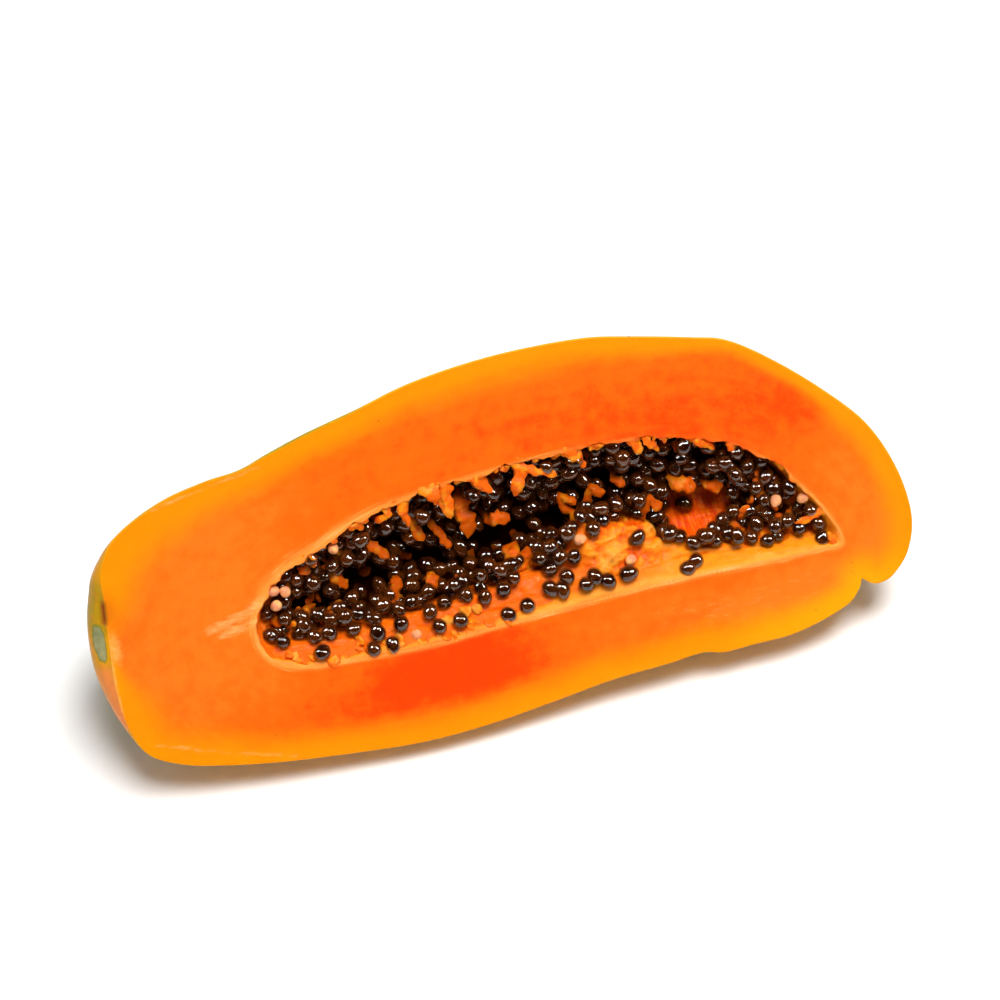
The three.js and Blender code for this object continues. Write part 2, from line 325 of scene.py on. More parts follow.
def merged(parts):
    """Many small meshes, as points and triangles of each, made one."""
    starts = np.cumsum([0] + [len(points) for points, _ in parts])
    triangles = [faces + start for (_, faces), start in zip(parts, starts)]
    return np.concatenate([points for points, _ in parts]), np.concatenate(triangles)


def stand_for(made, node):
    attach(made, "root")
    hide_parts(node)


NOTCH_SHARE = 0.786
NOTCH_WIDTH = 0.04
NOTCH_DENSER = 5
NOTCH_STEPS = 2001


def unit(vectors):
    return vectors / np.linalg.norm(vectors, axis=-1, keepdims=True)


def corners(index):
    """The four corners of each cell of a grid of rings, each of which closes on itself."""
    return index[:-1], np.roll(index[:-1], -1, axis=1), index[1:], np.roll(index[1:], -1, axis=1)


class Weave:
    """Joins rings of rib points into one closed mesh. The first and last rings lie folded on the
    deepest line, so their ribs share points there. Ribs lie closer at the blossom notch."""

    def __init__(self, side_steps, end_steps):
        self.side_steps = side_steps
        side = np.arange(side_steps) / side_steps
        stem = np.arange(end_steps) / end_steps
        fine = np.linspace(0, 1, NOTCH_STEPS)
        density = 1 + NOTCH_DENSER * np.exp(-(((fine - NOTCH_SHARE) / NOTCH_WIDTH) ** 2))
        grown = np.cumsum(density) - density[0]
        blossom = np.interp(stem, grown / grown[-1], fine)
        self.turns = np.concatenate([side, 1 + blossom, 2 + side, 3 + stem]) / 4
        fold = [np.arange(side_steps), np.full(end_steps, side_steps)]
        fold += [side_steps - np.arange(side_steps), np.zeros(end_steps)]
        self.fold = np.concatenate(fold).astype(int)

    def vertices(self, rings):
        """The points or values of each vertex, from those of each ring and rib."""
        folded = self.side_steps + 1
        inner = rings[1:-1].reshape((-1,) + rings.shape[2:])
        return np.concatenate([rings[0][:folded], inner, rings[-1][:folded]])

    def triangles(self, ring_count):
        ribs = len(self.turns)
        folded = self.side_steps + 1
        inner = folded + np.arange((ring_count - 2) * ribs).reshape(-1, ribs)
        last = folded + (ring_count - 2) * ribs + self.fold
        index = np.vstack([self.fold, inner, last])
        a, b, c, d = corners(index)
        halves = [np.stack([a, c, b], axis=-1), np.stack([b, c, d], axis=-1)]
        found = np.concatenate([half.reshape(-1, 3) for half in halves])
        x, y, z = found.T
        return found[(x != y) & (y != z) & (z != x)]

    def mesh(self, name, rings, material, masks):
        """The woven object and its triangles, with a float attribute for each mask."""
        triangles = self.triangles(len(rings))
        values = {key: self.vertices(value) for key, value in masks.items()}
        return make_object(name, self.vertices(rings), triangles, material, values), triangles


TINY = 1e-9


def ring_normals(rings):
    """Unit normals of a grid of ring points, facing the cavity's open space."""
    across = np.gradient(rings, axis=0)
    along = np.roll(rings, -1, axis=1) - np.roll(rings, 1, axis=1)
    normals = np.cross(along, across)
    length = np.linalg.norm(normals, axis=-1, keepdims=True)
    return np.where(length > TINY, normals / np.maximum(length, TINY), [0, 0, -1])


BATCH = 4000


def distance_to(others, points):
    """Distance from points to the nearest of others, in as many coordinates as others have."""
    axes = others.shape[-1]
    flat = np.asarray(points)[..., :axes].reshape(-1, axes)
    found = np.empty(len(flat))
    for start in range(0, len(flat), BATCH):
        gap = flat[start:start + BATCH, None] - others[None]
        found[start:start + BATCH] = np.sqrt((gap**2).sum(axis=-1).min(axis=1))
    return found.reshape(np.asarray(points).shape[:-1])


def in_ellipse(points, patch, soft=0.5):
    """1 inside an ellipse given as u, v and its two half widths, fading out past its edge."""
    u, v, ru, rv = patch[:4]
    away = np.hypot((points[..., 0] - u) / ru, (points[..., 1] - v) / rv)
    return 1 - fade(away, 1 - soft, 1 + soft)


def in_any(points, patches, soft=0.5):
    return np.maximum.reduce([in_ellipse(points, patch, soft) for patch in patches])


def weighted(points, patches, middle=0, soft=0.8):
    """A middle value that patches move towards their own, given after their half widths."""
    return middle + sum((patch[4] - middle) * in_ellipse(points, patch, soft) for patch in patches)


def on_line(points, line, width):
    """1 on a line through places of two or three coordinates, fading out to width."""
    line = np.array(line, float)
    nearest = np.full(points.shape[:-1], np.inf)
    for start, end in zip(line[:-1], line[1:]):
        step = end - start
        to = points[..., :len(start)] - start
        t = np.clip((to @ step) / (step @ step), 0, 1)
        nearest = np.minimum(nearest, np.linalg.norm(to - t[..., None] * step, axis=-1))
    return 1 - fade(nearest, 0, width)


def on_any(points, lines, width):
    return np.maximum.reduce([on_line(points, line, width) for line in lines])


# ---- paint


class Paint:
    """A material with its node tree, and short calls for the nodes that it is made of."""

    def __init__(self, name):
        self.material = bpy.data.materials.new(name)
        self.material.use_nodes = True
        self.tree = self.material.node_tree
        self.shader = self.tree.nodes["Principled BSDF"]

    def node(self, kind, inputs=None, **settings):
        made = self.tree.nodes.new("ShaderNode" + kind)
        for key, value in settings.items():
            setattr(made, key, value)
        for key, value in (inputs or {}).items():
            self.feed(made, key, value)
        return made

    def feed(self, node, key, value):
        """Sets an input to a number or colour, or links it to a socket or a named attribute."""
        if isinstance(value, str):
            value = self.attribute(value)
        if isinstance(value, bpy.types.NodeSocket):
            self.tree.links.new(value, node.inputs[key])
        else:
            node.inputs[key].default_value = value

    def shade(self, **inputs):
        for key, value in inputs.items():
            self.feed(self.shader, key.replace("_", " "), value)

    def place(self):
        return self.node("TexCoord").outputs["Object"]

    def attribute(self, name):
        return self.node("Attribute", attribute_name=name).outputs["Fac"]

    def vector(self, name):
        return self.node("Attribute", attribute_name=name).outputs["Vector"]

    def stretched(self, vector, scale):
        return self.node("Mapping", {"Vector": vector, "Scale": scale}).outputs["Vector"]

    def noise(self, size, detail=3, vector=None, roughness=0.5):
        """Noise from 0 to 1 with features of about size millimetres."""
        inputs = {
            "Vector": vector or self.place(), "Scale": 1 / (size * MM), "Detail": detail,
            "Roughness": roughness,
        }
        return self.node("TexNoise", inputs).outputs["Fac"]

    def spots(self, size, vector=None):
        inputs = {"Vector": vector or self.place(), "Scale": 1 / (size * MM)}
        return self.node("TexVoronoi", inputs).outputs["Distance"]

    def ramp(self, value, start, end, low=0.0, high=1.0):
        inputs = {"Value": value, "From Min": start, "From Max": end, "To Min": low, "To Max": high}
        return self.node("MapRange", inputs, interpolation_type="SMOOTHSTEP").outputs["Result"]

    def sum(self, *values, operation="ADD"):
        total = values[0]
        for value in values[1:]:
            total = self.node("Math", {0: total, 1: value}, operation=operation).outputs[0]
        return total

    def product(self, *values):
        return self.sum(*values, operation="MULTIPLY")

    def varied(self, value, *noises):
        """A value moved up and down by noises of 0 to 1, by the amount that follows each."""
        for noise, amount in zip(noises[::2], noises[1::2]):
            value = self.sum(value, self.product(self.sum(noise, -0.5), amount))
        return value

    def mix(self, share, low, high):
        """A colour from low to high."""
        made = self.node("Mix", {0: share, 6: low, 7: high}, data_type="RGBA")
        return made.outputs[2]

    def tint(self, colour, other, value, start, end, most=1.0):
        """A colour that turns to another where a value goes from start to end."""
        return self.mix(self.ramp(value, start, end, 0, most), colour, other)

    def bump(self, height, depth):
        inputs = {"Height": height, "Distance": depth * MM, "Strength": 1.0}
        return self.node("Bump", inputs).outputs["Normal"]


def rgb(code):
    """A linear colour from a display colour such as ff8030."""
    parts = [int(code[i:i + 2], 16) / 255 for i in (0, 2, 4)]
    return tuple(c / 12.92 if c <= 0.04045 else ((c + 0.055) / 1.055) ** 2.4 for c in parts) + (1,)


FLESH_LIGHT = rgb("fa7419")
FLESH_MIDDLE = rgb("f9640a")
FLESH_DEEP = rgb("f84002")
FLESH_PINK = rgb("f98848")
RIM_YELLOW = rgb("f98a02")
RIM_GOLDEN = rgb("fa9c04")
LIP_PALE = rgb("fb983e")
FIBRE_PALE = rgb("fcb468")
CREAM = rgb("e0b060")
PIT_BROWN = rgb("8a3a14")
SCAR_GREY = rgb("868a5c")
SCAR_PALE = rgb("a8a070")
SKIN_YELLOW = rgb("e09a04")
SKIN_OLIVE = rgb("a88e10")
SKIN_GREEN = rgb("7c7e1c")
SKIN_BROWN = rgb("7a4a18")
PULP_ORANGE = rgb("ee6408")
PULP_YELLOW = rgb("f68a14")
PULP_PALE = rgb("fa9c34")
PULP_RED = rgb("d83c04")
# Painted shade: the colour that the pulp and tags are darkened to deep in the cavity.
PULP_PAINTED_SHADE = rgb("140200")
SEED_CORE = rgb("1a0804")
SEED_DARK = rgb("280c05")
SEED_JELLY = rgb("6e340c")
SEED_PALE = rgb("d88a64")


def skin_paint():
    paint = Paint("papaya_skin")
    cloud = paint.noise(26, 4)
    fine = paint.noise(3.5, 4)
    green = paint.varied("green", cloud, 0.8)
    colour = paint.tint(SKIN_YELLOW, SKIN_OLIVE, green, 0.25, 0.75)
    colour = paint.tint(colour, SKIN_GREEN, green, 0.7, 1.25)
    colour = paint.tint(colour, RIM_YELLOW, fine, 0.45, 0.75, 0.25)
    speck = paint.ramp(paint.spots(5.5), 0.1, 0.16, 1, 0)
    speck = paint.product(speck, paint.ramp(paint.noise(14, 2), 0.45, 0.6))
    colour = paint.mix(paint.product(speck, 0.7), colour, SKIN_BROWN)
    colour = paint.mix("pink", colour, FLESH_PINK)
    ragged = paint.noise(2.2, 4)
    scar = paint.varied("scar", ragged, 0.5)
    grey = paint.tint(SCAR_GREY, SCAR_PALE, fine, 0.35, 0.65)
    colour = paint.tint(colour, SKIN_GREEN, scar, 0.3, 0.5)
    colour = paint.tint(colour, grey, scar, 0.42, 0.62)
    colour = paint.mix(paint.varied("pit", ragged, 0.5), colour, PIT_BROWN)
    height = paint.sum(paint.product(fine, 0.6), paint.product(paint.noise(0.9, 2), 0.2))
    paint.shade(
        Base_Color=colour, Roughness=0.38, Specular_IOR_Level=0.1,
        Normal=paint.bump(height, 0.25),
    )
    return paint.material


def pulp_colours(paint):
    """Colour and height of the pulp: lumps and fibres, paler where bright (partly painted light on raised
    lumps), red in places (partly painted shade in crevices), and darker in the depth by painted shade.
    """
    lumps = paint.noise(3.2, 4)
    fibres = paint.noise(1.5, 4, paint.stretched(paint.place(), (0.4, 1, 1)), 0.6)
    lines = paint.noise(1.1, 2, paint.stretched(paint.place(), (1, 0.15, 0.15)))
    bright = paint.varied("bright", lumps, 0.8)
    colour = paint.tint(PULP_ORANGE, PULP_YELLOW, bright, 0.1, 0.6)
    colour = paint.tint(colour, PULP_PALE, bright, 0.6, 1.2)
    colour = paint.tint(colour, FIBRE_PALE, fibres, 0.58, 0.72, 0.3)
    red = paint.tint(PULP_RED, PULP_ORANGE, lines, 0.35, 0.7)
    colour = paint.mix("red", colour, red)
    # Painted shade: the pulp is darkened where its depth mask says.
    colour = paint.mix("painted_shade", colour, PULP_PAINTED_SHADE)
    return colour, paint.sum(lumps, fibres, paint.product(lines, "red"))


def flesh_paint():
    paint = Paint("papaya_flesh")
    flow = paint.vector("flow")
    cloud = paint.noise(16, 3)
    patchy = paint.noise(5, 3)
    streaks = paint.noise(3, 4, paint.stretched(flow, (0.12, 0.12, 1)), 0.6)
    hairs = paint.noise(0.9, 3, paint.stretched(flow, (0.06, 0.06, 1)), 0.6)
    fine = paint.noise(1.3, 3)

    deep = paint.varied("deep", cloud, 0.4, streaks, 0.35, patchy, 0.75, fine, 0.25)
    colour = paint.tint(FLESH_LIGHT, FLESH_MIDDLE, deep, -0.05, 0.5)
    colour = paint.tint(colour, FLESH_DEEP, deep, 0.45, 1.05)

    edge = paint.varied("rim", cloud, 0.6, streaks, 0.3)
    yellow = paint.mix("gold", RIM_YELLOW, RIM_GOLDEN)
    colour = paint.mix(paint.ramp(edge, 0.35, 1.9, 1, 0), colour, yellow)

    lip = paint.varied("lip", hairs, 0.7, streaks, 0.5)
    colour = paint.tint(colour, LIP_PALE, lip, 0.1, 1, 0.85)
    fibres = paint.product(paint.ramp(hairs, 0.5, 0.7), paint.ramp(lip, 0.2, 0.8, 0, 0.5))
    colour = paint.mix(fibres, colour, FIBRE_PALE)

    threads = paint.noise(1.3, 4, paint.stretched(paint.place(), (0.3, 1, 1)), 0.65)
    pale = paint.varied("pale", threads, 1.6)
    colour = paint.tint(colour, FIBRE_PALE, pale, 0.3, 1.25, 0.8)
    cream = paint.varied("cream", fine, 0.6)
    colour = paint.tint(colour, CREAM, cream, 0.3, 0.9, 0.9)
    colour = paint.mix("pit", colour, PIT_BROWN)
    colour = paint.tint(colour, SKIN_OLIVE, "peel", 0.1, 0.8, 0.7)
    speck = paint.product(paint.ramp(paint.spots(9), 0.03, 0.055, 1, 0), paint.ramp(cloud, 0.5, 0.62))
    colour = paint.mix(paint.product(speck, 0.5), colour, PIT_BROWN)

    pulp, lumps = pulp_colours(paint)
    colour = paint.mix("wall", colour, pulp)
    height = paint.sum(paint.product(fine, 0.5), paint.product(streaks, 0.5), paint.product(lumps, "wall"))
    paint.shade(
        Base_Color=colour, Roughness=0.4, Specular_IOR_Level=0.05,
        Subsurface_Weight=0.25, Subsurface_Radius=(1, 0.3, 0.1), Subsurface_Scale=0.003,
        Normal=paint.bump(height, 0.2),
    )
    return paint.material


def pulp_paint():
    paint = Paint("papaya_pulp")
    colour, height = pulp_colours(paint)
    wet = paint.ramp("painted_shade", 0, 0.6, 0.07, 0)
    paint.shade(
        Base_Color=colour, Roughness=0.3, Specular_IOR_Level=wet,
        Subsurface_Weight=0.35, Subsurface_Radius=(1, 0.25, 0.08), Subsurface_Scale=0.002,
        Normal=paint.bump(height, 0.35),
    )
    return paint.material


def core_paint():
    paint = Paint("seed_core")
    paint.shade(
        Base_Color=SEED_CORE, Roughness=0.5, Specular_IOR_Level=0.0,
        Normal=paint.bump(paint.noise(0.9, 2), 0.3),
    )
    return paint.material


def jelly_paint():
    paint = Paint("seed_jelly")
    colour = paint.tint(SEED_JELLY, SEED_DARK, paint.noise(5, 2), 0.35, 0.7)
    paint.shade(
        Base_Color=colour, Roughness=0.12, Specular_IOR_Level=0.25, Alpha=0.5,
        Coat_Weight=1.0, Coat_Roughness=0.03, Coat_IOR=1.9,
        Normal=paint.bump(paint.noise(1.6, 1), 0.08),
    )
    return paint.material


def pale_seed_paint():
    paint = Paint("seed_pale")
    colour = paint.tint(SEED_PALE, FIBRE_PALE, paint.noise(2.2, 3), 0.35, 0.75)
    paint.shade(
        Base_Color=colour, Roughness=0.25, Specular_IOR_Level=0.15,
        Subsurface_Weight=0.3, Subsurface_Radius=(1, 0.4, 0.2), Subsurface_Scale=0.002,
    )
    return paint.material


# ---- flesh
# Patches are ellipses, as u, v and two half widths. A tone of 0 is light flesh and 1 deep orange.

FLESH_WEAVE = Weave(side_steps=190, end_steps=120)
EDGE_ROUND = 0.6
SKIN_RINGS = 44
SKIN_SPREAD = 0.8
LAST_RING_SHARE = 0.9
OUTER_CORNER = (0.15, 0.5, 0.85)
FACE_RINGS = 48
INNER_CORNER = (0.25, 0.6, 0.9)
INNER_FLATTER = 0.5
WALL_ANGLES = [*np.linspace(0, 0.5, 26), *np.linspace(0.6, pi / 2, 8)]
DIVE = (0.33, 0.45)
MIDDLE_TONE = 0.5
TONES = [
    (-24, -38, 27, 11, 1.15), (31, 34, 40, 14, 0.72), (88, 26, 34, 18, 0.74), (114, 30, 14, 12, 0.75),
    (-42, 34, 34, 10, 0.55), (-28, -46, 30, 8, 0.72), (-112, -4, 36, 40, 0.05), (-90, 30, 20, 10, 0.3),
    (133, -14, 20, 30, 0.15), (-78, -44, 28, 12, 0.7), (140, -36, 12, 12, -0.1),
    (75, -38, 62, 8, 0.25), (104, -44, 26, 10, 0.05),
]
RIM_WIDTH = 7.5
RIM_WIDER = [
    (-128, 28, 26, 20, 4), (-130, -40, 26, 16, 2.5), (-140, -8, 12, 16, -5), (104, 46, 50, 30, -4),
    (96, -54, 30, 12, 1),
]
RIM_GOLD = (112, -48, 34, 16)
LIP_WIDTH = 1.4
LIP_WIDER = [(-72, 10, 45, 18, 3), (90, -32, 36, 8, 0.6), (-90, -18, 10, 12, 0.8)]
LIP_FAINT = (75, 18, 50, 20)
VEINS = [
    [(-87, -1), (-94.5, -4.6), (-100.5, -6.3), (-106, -7.5)],
    [(-89.5, -7.8), (-96, -8.5), (-102, -9.4)],
]
FLECKS = [
    [(-117, 37.5), (-98, 41.2), (-79, 44.5)], [(-132, -42), (-110, -50), (-86, -57)],
    [(-87, -24), (-91, -17), (-91.5, -9)],
]
STREAKED = [(82, -40, 50, 7)]
CREAM_EDGE = [(-140, 1), (-140.2, -8), (-140.5, -22), (-140.2, -31)]
CREAM_PATCH = (-138.2, -6, 2.6, 7)
STEM_PIT = [(-139, 9.5), (-139.3, 6), (-139.6, 3.5)]
STEM_HALO = (-137.8, 6.5, 2.6, 5.5)
STEM_DEPTH = 14
SCAR_DISC = (-142.7, -3.2, 1.9, 6.6)
PINK_SKIN = [(-143, -14), (-142, -21), (-140.7, -32)]
GREEN_EDGES = [(-56, 55, 22, 9, 0.75), (-104, 44, 50, 16, 0.5), (-142, 8, 8, 12, 0.5)]
RAGGED_LIP = (-50, -28, 60, 12)
GREEN_FROM = (6, 26)
SWELL_SIZE, SWELL_HEIGHT = 14, 0.18
PORE_SIZE, PORE_HEIGHT = 3.5, 0.05
SWELL_BASE = 0.2
PIT_SINK = 1.1
FLOW_RADIUS = 75


def flesh_wall(ribs, angle):
    """The cavity's wall near its mouth, torn and lumpy, which dives behind the lining further in."""
    shown = with_ledge(wall_points(ribs, angle))
    behind = wall_points(ribs, angle, LIP, BED)
    rough = 0.3 + 0.9 * fade(ribs.dir[:, 1], -0.2, 0.6)
    rough += 1.2 * in_ellipse(shown, RAGGED_LIP) * fade(shown[:, 2], 0.2, 1.5)
    relief = rough * layered_noise(shown * [0.7, 1, 1], 2.6, SALT["torn"])
    shown[:, :2] -= ribs.dir * relief[:, None]
    under = fade(angle + 0.06 * noise(shown, 5, SALT["dive"]), *DIVE)[:, None]
    return shown * (1 - under) + behind * under


def flesh_rings():
    """Rings from the deepest line of the skin, over the cut edge and the cut face, down the wall."""
    skin_ribs = ribs_at(SKIN, FLESH_WEAVE.turns)
    wall_ribs = ribs_at(CAVITY, FLESH_WEAVE.turns)
    skin_angles = pi / 2 * (1 - np.linspace(0, 1, SKIN_RINGS) ** SKIN_SPREAD)[:-1]
    rings = [skin_points(skin_ribs, angle) for angle in skin_angles]
    edge = skin_points(skin_ribs, 0)
    wall = [flesh_wall(wall_ribs, angle) for angle in WALL_ANGLES]
    mouth = wall[0]
    mouth[:, 2] = 0
    inward = unit(mouth - edge)
    rings[-1] = edge + (rings[-1] - edge) * LAST_RING_SHARE
    for share in OUTER_CORNER:
        corner = (1 - sin(share * pi / 2)) * EDGE_ROUND
        rings.append(edge + inward * (1 - cos(share * pi / 2)) * EDGE_ROUND + [0, 0, corner])
    face_from = edge + inward * EDGE_ROUND
    face_to = mouth - inward * EDGE_ROUND
    for share in np.linspace(0, 1, FACE_RINGS):
        eased = 0.5 * share + 0.25 * (1 - cos(pi * share))
        rings.append(face_from + (face_to - face_from) * eased)
    for share in INNER_CORNER:
        corner = (1 - cos(share * pi / 2)) * EDGE_ROUND * INNER_FLATTER
        rings.append(mouth - inward * (1 - sin(share * pi / 2)) * EDGE_ROUND + [0, 0, corner])
    return np.array(rings + wall[1:]), len(skin_angles)


def face_masks(points, rim, mouth):
    """Where the cut face and the skin are tinted."""
    deep = weighted(points, TONES, MIDDLE_TONE)
    rim_width = RIM_WIDTH + weighted(points, RIM_WIDER)
    lip_width = LIP_WIDTH + weighted(points, LIP_WIDER)
    lip = 0.85 * (1 - fade(mouth / lip_width, 0, 2)) ** 1.5
    lip = lip * (1 - 0.65 * in_ellipse(points, LIP_FAINT, 0.6))
    veins = on_any(points, VEINS, 4)
    flecks = on_any(points, FLECKS, 1.8)
    cream = np.maximum(on_line(points, CREAM_EDGE, 1.6), in_ellipse(points, CREAM_PATCH, 0.9))
    edge_green = weighted(points, GREEN_EDGES, soft=0.5)
    green = fade(points[..., 2], *GREEN_FROM) * 0.75 + edge_green
    looked = seen(points)
    halo = in_ellipse(looked, STEM_HALO, 0.9)
    at_stem = 1 - fade(points[..., 2], STEM_DEPTH - 2, STEM_DEPTH)
    return {
        "deep": deep + 0.4 * halo,
        "rim": rim / rim_width,
        "lip": lip,
        "gold": in_ellipse(points, RIM_GOLD, 0.7),
        "pale": np.maximum(0.85 * veins, 0.6 * flecks) + 0.3 * in_any(points, STREAKED),
        "cream": 0.65 * cream * at_stem,
        "pit": np.maximum(on_line(looked, STEM_PIT, 2), 0.35 * halo) * at_stem,
        "green": green,
        "peel": edge_green * (1 - fade(rim, 0.4, 1.5)),
        "scar": in_ellipse(looked, SCAR_DISC, 0.6) * at_stem,
        "pink": 0.8 * on_line(looked, PINK_SKIN, 5) * at_stem,
    }


def flesh_flow(mouth):
    """Coordinates in which streaks run from the mouth out to the rim, in metres."""
    around = 2 * pi * FLESH_WEAVE.turns
    flow = [np.cos(around)[None] * FLOW_RADIUS, np.sin(around)[None] * FLOW_RADIUS, mouth]
    return np.stack(np.broadcast_arrays(*flow), axis=-1) * MM


def make_flesh():
    rings, skin_count = flesh_rings()
    face = np.zeros(len(rings))
    first_face = skin_count + len(OUTER_CORNER)
    face[first_face:first_face + FACE_RINGS] = 1
    depth = rings[..., 2]
    mouth = distance_to(CAVITY.loop, rings)
    rim = distance_to(SKIN.loop, rings)
    masks = face_masks(rings, rim, mouth)
    swell = layered_noise(rings, SWELL_SIZE, SALT["swell"]) * SWELL_HEIGHT
    swell = swell + noise(rings, PORE_SIZE, SALT["pores"]) * PORE_HEIGHT
    swell = np.maximum((swell + SWELL_BASE) * fade(np.minimum(mouth, rim), 0.5, 4), 0)
    on_wall = np.zeros(len(rings))
    on_wall[first_face + FACE_RINGS:] = 1
    rings[..., 2] += swell * face[:, None] + PIT_SINK * masks["pit"] * (depth < 3)
    masks["wall"] = on_wall[:, None] * fade(depth, 0.1, 0.9)
    # The pulp masks, painted shade in the depth among them, also colour the flesh's wall.
    masks.update(pulp_masks(rings, 0))
    weave = FLESH_WEAVE
    made, triangles = weave.mesh("papaya_flesh", rings, skin_paint(), masks)
    layer = made.data.attributes.new("flow", "FLOAT_VECTOR", "POINT")
    layer.data.foreach_set("vector", weave.vertices(flesh_flow(mouth)).astype(np.float32).ravel())
    made.data.materials.append(flesh_paint())
    first_cut = weave.side_steps + 1 + (skin_count + 1) * len(weave.turns)
    is_cut = (triangles >= first_cut).all(axis=1).astype(np.int32)
    made.data.polygons.foreach_set("material_index", is_cut)
    stand_for(made, "flesh")


# ---- pulp
# Patches of the pulp are given where they are seen through the open cut face.

PULP_WEAVE = Weave(side_steps=190, end_steps=110)
MASS = (40, -10, 14, 12)
RED_WALL = (68, -3, 14, 11)
YELLOW_BLOBS = [(67, 7, 5, 4), (79, 5, 4, 3)]
RED_EDGE = 0.35
# Painted light along the ledge's crest, given as u, v and w: the pulp is made paler there.
CREST_PAINTED_LIGHT = [(54, -14, 7), (65, -17, 7), (74, -21.5, 6), (80, -23.5, 4), (92, -25.5, 2)]
LINED_UP = (0.22, 0.36)
FRONT_RINGS = 100
BACK_RINGS = 12
BACK_CLEAR = 0.3
SIGHT = 0.8


def pulp_masks(points, relief):
    """How bright, red and dark the pulp is: its own paleness and red, with painted light on raised lumps,
    painted shade in the mass's crevices and painted shade in the depth.
    """
    depth = points[..., 2]
    looked = seen(points)
    mass = in_ellipse(looked, MASS)
    red = in_ellipse(looked, RED_WALL, RED_EDGE) * fade(depth, 6, 9)
    blobs = in_any(looked, YELLOW_BLOBS)
    ledge = (0.1 + 0.45 * fade(points[..., 0], 0, 50)) * (1 - fade(depth, 5, 10))
    raised = fade(relief, 0, 1.8)
    lower = 1 - fade(points[..., 1], -26, -16)
    reach_in = 1.6 + 2 * fade(points[..., 0], -20, 30)
    at_lip = (0.2 + 0.9 * lower) * (1 - fade(depth / reach_in, 0.2, 1))
    # bright: the pulp's own paleness at the lip, on the ledge and in the yellow blobs, plus painted light
    # on raised lumps, most of all in the mass.
    bright = at_lip + 0.5 * raised + 0.6 * blobs + mass * (0.9 * raised - 0.15)
    # Painted light: the pulp is paler along the ledge's crest.
    bright += 0.6 * on_line(points, CREST_PAINTED_LIGHT, 3)
    bright = np.maximum(bright, ledge)
    # Painted shade: the mass turns red in its crevices, where its relief sinks.
    red = np.maximum(red, 0.85 * mass * (1 - fade(relief, -0.3, 0.9)))
    # Painted shade: the pulp darkens the deeper it lies in the cavity, except on the red wall and the
    # yellow blobs.
    painted_shade = fade(depth, 7.5, 17) * (1 - np.maximum(red, 0.9 * blobs))
    return {"bright": bright, "red": red * (1 - blobs), "painted_shade": painted_shade}


def lining_front(ribs, angles):
    """The lining's bare front. Near the mouth it stays hidden behind the flesh."""
    rings = []
    for angle in angles:
        behind = 1 - float(fade(angle, *LINED_UP))
        ring = with_ledge(wall_points(ribs, angle))
        ring[:, :2] += ribs.dir * 1.6 * behind
        ring[:, 2] += 1.2 * behind
        rings.append(ring)
    return np.array(rings)


class Lining:
    """The front that pulp and seeds stand on."""

    def __init__(self):
        self.ribs = ribs_at(CAVITY, PULP_WEAVE.turns)
        self.angles = np.linspace(0.05, pi / 2, FRONT_RINGS)
        self.front = lining_front(self.ribs, self.angles)
        self.normals = ring_normals(self.front)
        self.points = self.front.reshape(-1, 3)
        self.facing = self.normals.reshape(-1, 3)
        self.looked = seen(self.points)

    def behind(self, place_seen):
        """The point and normal of the front that is seen through a place of the open cut face."""
        gap = np.linalg.norm(self.looked - place_seen, axis=1)
        close = np.flatnonzero(gap < gap.min() + SIGHT)
        index = close[np.argmin(self.points[close, 2])]
        return self.points[index], self.facing[index]

    def root(self, point):
        """The point of the front nearest to a point."""
        return self.points[np.argmin(np.linalg.norm(self.points - point, axis=1))]


def lining_relief(lining, seeds):
    """How far the pulp stands out from its bare front, and less so under the seeds."""
    front = lining.front
    lumps = layered_noise(front, 7, SALT["lumps"], 4)
    fine = layered_noise(front * [0.6, 1, 1], 2.4, SALT["fine"])
    mass = in_ellipse(seen(front), MASS)
    red = in_ellipse(seen(front), RED_WALL, RED_EDGE)
    relief = (0.9 * lumps + 0.5 * fine) * (1 - 0.5 * red) * (0.6 + 0.4 * fade(front[..., 2], 2, 8))
    ridges = layered_noise(front * [0.14, 1, 1], 2.6, SALT["ridges"], 2)
    ridges = ridges * fade(front[..., 0], 15, 40)
    relief += 0.7 * ridges * (1 - mass) * (1 - fade(front[..., 2], 6, 9))
    rough = 1.7 * layered_noise(front, 4.5, SALT["mass"])
    relief += mass * (0.9 + rough + 0.8 * layered_noise(front, 2, SALT["mass_fine"], 2))
    nearest = distance_to(np.array([seed.centre for seed in seeds]), front)
    relief += 1.1 * fade(nearest, 3.2, 5.2) * fade(front[..., 2], 3, 9) - 0.4
    return relief * fade(lining.angles, *LINED_UP)[:, None]


def make_lining(lining, seeds, material):
    back = [
        wall_points(lining.ribs, angle, LIP + BACK_CLEAR, BED + BACK_CLEAR)
        for angle in np.linspace(pi / 2, 0.12, BACK_RINGS)
    ]
    relief = lining_relief(lining, seeds)
    front = lining.front + lining.normals * relief[..., None]
    rings = np.concatenate([np.array(back), front])
    relief = np.concatenate([np.zeros((len(back), front.shape[1])), relief])
    made, _ = PULP_WEAVE.mesh("pulp_lining", rings, material, pulp_masks(rings, relief))
    stand_for(made, "seeds")


# Tags of pulp: the points that they pass, their radius, how bright they are, and how much they
# narrow towards the tip.
Tag = namedtuple("Tag", "points radius bright taper")
LIP_LEVEL = 1.5
TIP_LEVEL = 4
INNER_LEVEL = 12
HANGING_WIDER = 1.1
LUMP_RADIUS = 1.6
